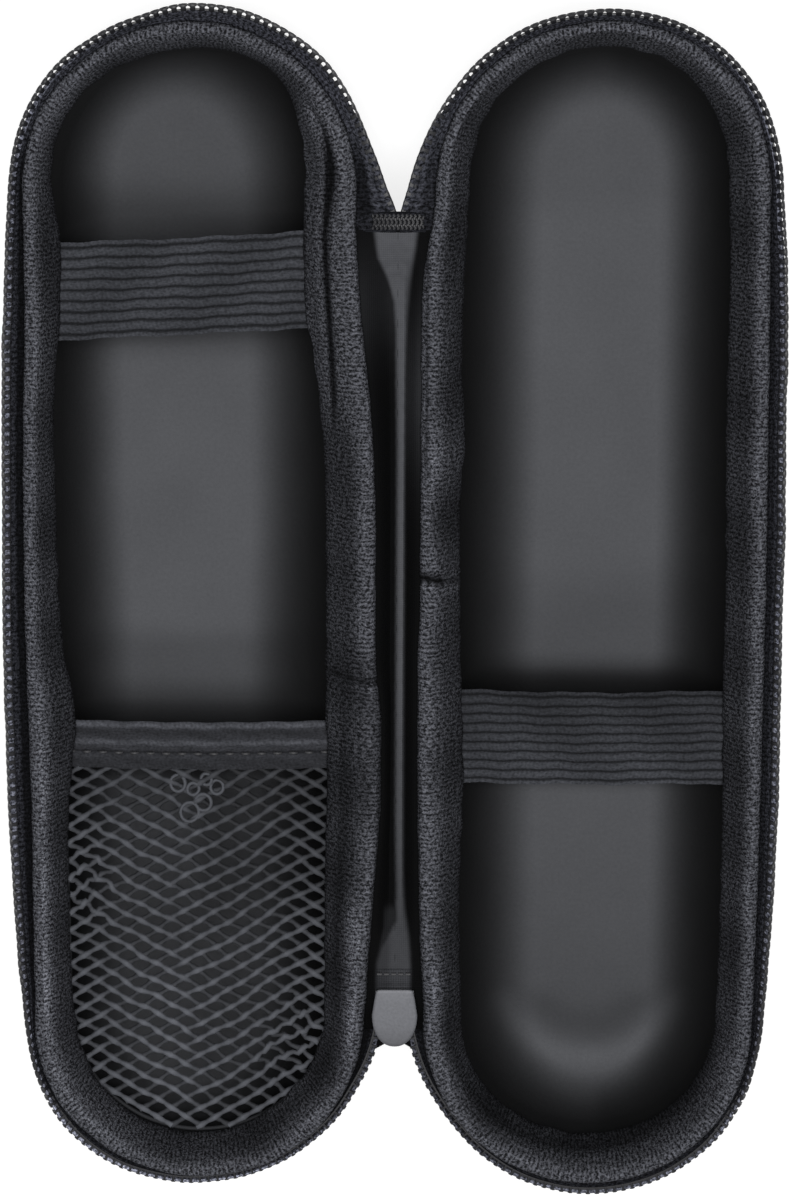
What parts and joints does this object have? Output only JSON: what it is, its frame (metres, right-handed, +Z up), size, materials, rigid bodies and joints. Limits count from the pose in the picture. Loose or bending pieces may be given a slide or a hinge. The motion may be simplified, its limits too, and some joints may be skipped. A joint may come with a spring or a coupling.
{
  "type": "toothbrush travel case",
  "caption": "Long moulded zip case for a toothbrush, lying open flat on its two backs, with elastic straps, a net pocket and a fabric spine.",
  "frame": {"origin": "middle of the spine's length, midway between the two halves, on the surface that both backs rest on", "axes": "+Z up out of the open halves, +Y along the spine to the end away from the parked slider, +X to the half without the net pocket"},
  "size_m": [0.145, 0.2247, 0.0247],
  "materials": {
    "outer_fabric": "black woven polyester, matt",
    "foam": "moulded closed-cell foam, matt",
    "lining_fabric": "dark grey brushed knit",
    "binding_tape": "charcoal ribbed binding tape",
    "sewing_thread": "black sewing thread",
    "zip_fabric": "black woven zip tape",
    "zip_plastic": "black coil teeth, slight sheen",
    "elastic_tape": "charcoal ribbed elastic",
    "net": "charcoal knitted net",
    "spine_fabric": "black woven polyester, matt",
    "coated_metal": "satin dark grey coated zinc"
  },
  "bodies": {
    "right_half": {"right_outer_skin": "outer_fabric", "right_foam_shell": "foam", "right_lining": "lining_fabric", "right_rim_binding": "binding_tape", "right_rim_thread": "sewing_thread", "right_zip_tape": "zip_fabric", "right_zip_teeth": "zip_plastic", "right_strap": "elastic_tape"},
    "spine": {"spine_gusset": "spine_fabric", "zip_start_tab": "zip_fabric", "zip_tail": "zip_fabric", "slider_body": "coated_metal"},
    "left_half": {"left_outer_skin": "outer_fabric", "left_foam_shell": "foam", "left_lining": "lining_fabric", "left_rim_binding": "binding_tape", "left_rim_thread": "sewing_thread", "left_zip_tape": "zip_fabric", "left_zip_teeth": "zip_plastic", "left_strap": "elastic_tape", "pocket_hem": "elastic_tape", "pocket_net": "net"},
    "pull_tab": {"pull_tab": "coated_metal"}
  },
  "joints": [
    {"name": "spine_fold", "type": "hinge", "parent": "right_half", "child": "spine", "pos_m": [0.0032, 0, 0.0219], "axis": [0, 1, 0], "range_deg": [0, 90]},
    {"name": "lid_fold", "type": "hinge", "parent": "spine", "child": "left_half", "pos_m": [-0.0032, 0, 0.0219], "axis": [0, 1, 0], "range_deg": [0, 90]},
    {"name": "pull_swing", "type": "hinge", "parent": "spine", "child": "pull_tab", "pos_m": [0, -0.07855, 0.01855], "axis": [1, 0, 0], "range_deg": [-75, 75]}
  ],
  "couplings": [
    {"joint": "lid_fold", "follows": "spine_fold", "ratio": 1}
  ]
}
